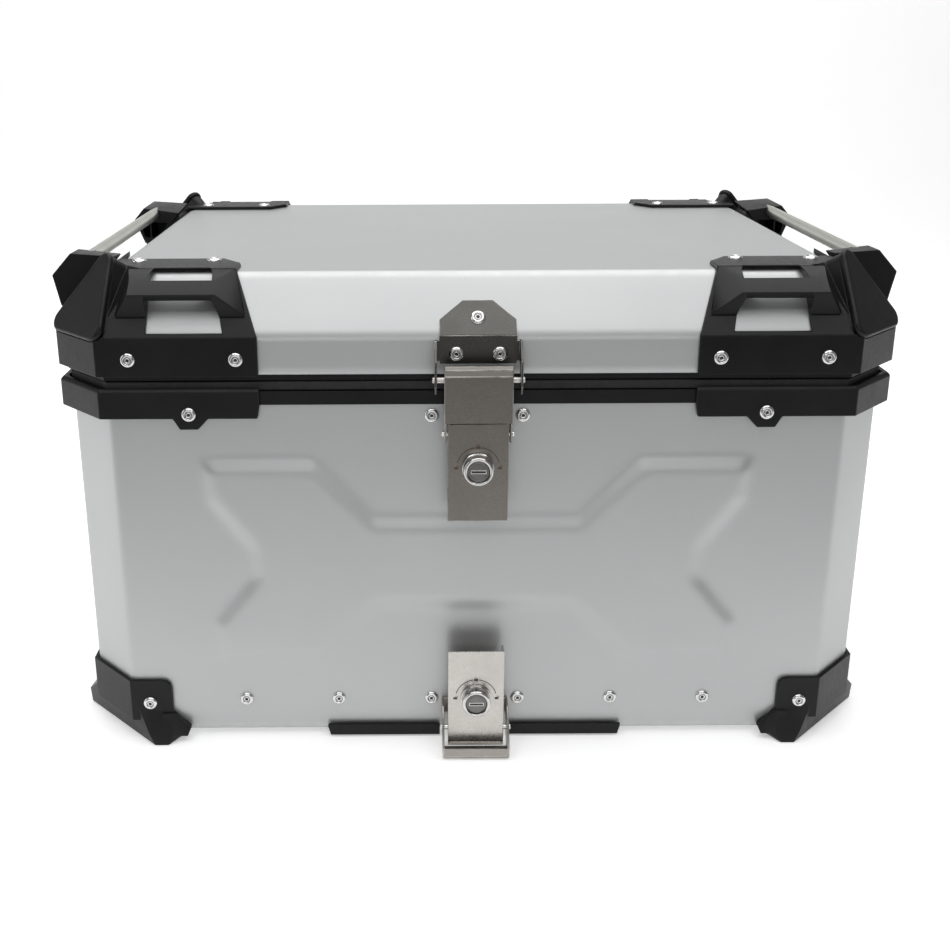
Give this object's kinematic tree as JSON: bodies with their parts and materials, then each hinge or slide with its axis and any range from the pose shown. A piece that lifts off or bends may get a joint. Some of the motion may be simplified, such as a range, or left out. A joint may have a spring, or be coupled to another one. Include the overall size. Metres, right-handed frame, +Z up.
{
  "type": "motorcycle top case",
  "caption": "Chamfered aluminium motorcycle top case: riveted box with a rear-hinged lid, black corner mouldings with handles, carrying rails, a locking draw latch and a quick-release latch.",
  "frame": {"origin": "on the ground under the feet, in the middle of the overall width and depth", "axes": "+X to the right seen from the latch side, +Y from the latch side towards the hinges, +Z up"},
  "size_m": [0.617, 0.4542, 0.3689],
  "materials": {
    "sheet": "satin anodised sheet",
    "rail_tube": "satin champagne-grey anodised tube",
    "moulding": "satin moulded nylon with a fine grain",
    "seal": "matt",
    "satin_steel": "satin",
    "bright_steel": "bright satin stainless",
    "rivet": "polished",
    "lock_chrome": "mirror"
  },
  "bodies": {
    "body": {"band_corner_fl": "moulding", "band_corner_fr": "moulding", "band_corner_rl": "moulding", "band_corner_rr": "moulding", "band_rivet_fl": "rivet", "band_rivet_fr": "rivet", "band_rivet_rl": "rivet", "band_rivet_rr": "rivet", "body_rim_band": "moulding", "body_rivets_front": "rivet", "body_rivets_rear": "rivet", "body_shell": "sheet", "bottom_bar_left": "moulding", "bottom_bar_right": "moulding", "foot_fl": "moulding", "foot_fr": "moulding", "foot_rl": "moulding", "foot_rr": "moulding", "hinge_lower_leaf_left": "satin_steel", "hinge_lower_leaf_right": "satin_steel", "hinge_pin_left": "rivet", "hinge_pin_right": "rivet", "latch_base": "satin_steel", "lever_pin": "rivet", "lower_latch_claw": "satin_steel", "lower_latch_pin": "rivet", "mounting_plate": "satin_steel", "rim_gasket": "seal"},
    "lid": {"corner_pad_fl": "moulding", "corner_pad_fr": "moulding", "corner_pad_rl": "moulding", "corner_pad_rr": "moulding", "cover_rivets_fl": "rivet", "cover_rivets_fr": "rivet", "cover_rivets_rl": "rivet", "cover_rivets_rr": "rivet", "grab_rail_left": "rail_tube", "grab_rail_right": "rail_tube", "hinge_upper_leaf_left": "satin_steel", "hinge_upper_leaf_right": "satin_steel", "latch_bracket_rivets": "rivet", "lid_cover_fl": "moulding", "lid_cover_fr": "moulding", "lid_cover_rl": "moulding", "lid_cover_rr": "moulding", "lid_latch_bracket": "bright_steel", "lid_latch_rod": "bright_steel", "lid_rim": "moulding", "lid_shell": "sheet"},
    "lever": {"latch_lever": "satin_steel", "upper_lock_bezel": "lock_chrome"},
    "link": {"latch_link": "satin_steel", "link_pin": "rivet"},
    "upper_plug": {"upper_lock_plug": "satin_steel", "upper_lock_cam": "satin_steel"},
    "release": {"lower_latch_plate": "bright_steel", "lower_lock_bezel": "lock_chrome"},
    "lower_plug": {"lower_lock_plug": "satin_steel", "lower_lock_cam": "satin_steel"}
  },
  "joints": [
    {"name": "lid_hinge", "type": "hinge", "parent": "body", "child": "lid", "pos_m": [0, 0.22245, 0.283], "axis": [-1, 0, 0], "range_deg": [0, 100]},
    {"name": "lever_swing", "type": "hinge", "parent": "body", "child": "lever", "pos_m": [0, -0.20505, 0.262], "axis": [-1, 0, 0], "range_deg": [0, 84]},
    {"name": "link_pivot", "type": "hinge", "parent": "lever", "child": "link", "pos_m": [0, -0.20505, 0.248], "axis": [-1, 0, 0], "range_deg": [-92, 0]},
    {"name": "upper_key", "type": "hinge", "parent": "lever", "child": "upper_plug", "pos_m": [0, -0.21155, 0.2253], "axis": [0, 1, 0], "range_deg": [0, 180]},
    {"name": "release_swing", "type": "hinge", "parent": "body", "child": "release", "pos_m": [0, -0.21205, 0.019], "axis": [1, 0, 0], "range_deg": [0, 75]},
    {"name": "lower_key", "type": "hinge", "parent": "release", "child": "lower_plug", "pos_m": [0, -0.21705, 0.0465], "axis": [0, 1, 0], "range_deg": [0, 180]}
  ],
  "couplings": [
    {"joint": "link_pivot", "follows": "lever_swing", "ratio": -1.08}
  ]
}
